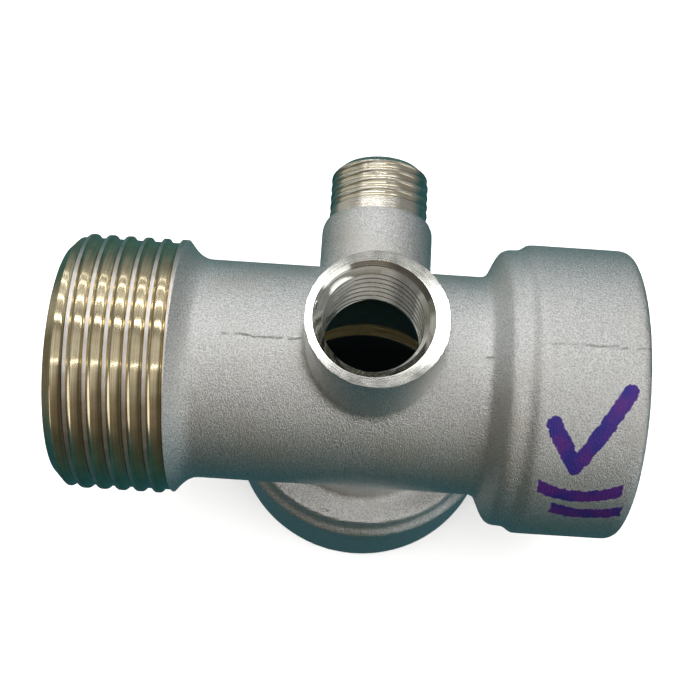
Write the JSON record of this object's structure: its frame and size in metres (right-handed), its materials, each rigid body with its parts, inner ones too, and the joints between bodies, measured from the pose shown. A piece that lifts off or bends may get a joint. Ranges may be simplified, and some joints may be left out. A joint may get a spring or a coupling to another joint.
{
  "type": "tee fitting",
  "caption": "Cast brass pump tee: a large male and a large female port in line, a large female branch, a small female gauge port and a small male switch nipple.",
  "frame": {"origin": "centre of the bounding box, on the plane of the branch port's rim, which the part stands on", "axes": "+X along the run from the male thread to the female port, +Y along the switch nipple, +Z along the gauge port, away from the branch"},
  "size_m": [0.0706, 0.0478, 0.0509],
  "materials": {
    "cast_body": "blasted, nickel-grey cast skin, with the threads and port faces machined back to bare brass",
    "washer_rubber": "matt black moulded rubber"
  },
  "bodies": {
    "root": {"body": "cast_body", "run_port_washer": "washer_rubber", "branch_port_washer": "washer_rubber"}
  },
  "joints": []
}
